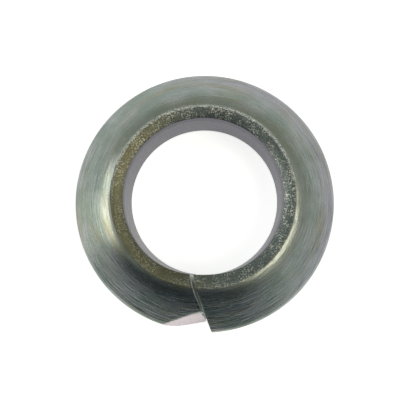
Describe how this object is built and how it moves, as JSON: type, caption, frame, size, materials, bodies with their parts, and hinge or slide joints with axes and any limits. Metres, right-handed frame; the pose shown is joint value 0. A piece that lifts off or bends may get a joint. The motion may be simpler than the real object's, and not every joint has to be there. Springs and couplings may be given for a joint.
{
  "type": "conical spring washer",
  "caption": "Thick split ring with a crowned conical outside and a plain bore, sprung between a wheel nut and its seat.",
  "frame": {"origin": "on the bore axis, in the plane that the lowest point of the wide nut side touches", "axes": "+Z along the bore axis towards the narrow ridge, -Y towards the split, +X completes the right-handed frame"},
  "size_m": [0.0388, 0.0388, 0.0082],
  "materials": {
    "zinc_plated_steel": "turned spring steel with a thin passivated zinc coat, grey with a green and olive cast"
  },
  "bodies": {
    "root": {"spring_washer": "zinc_plated_steel"}
  },
  "joints": []
}
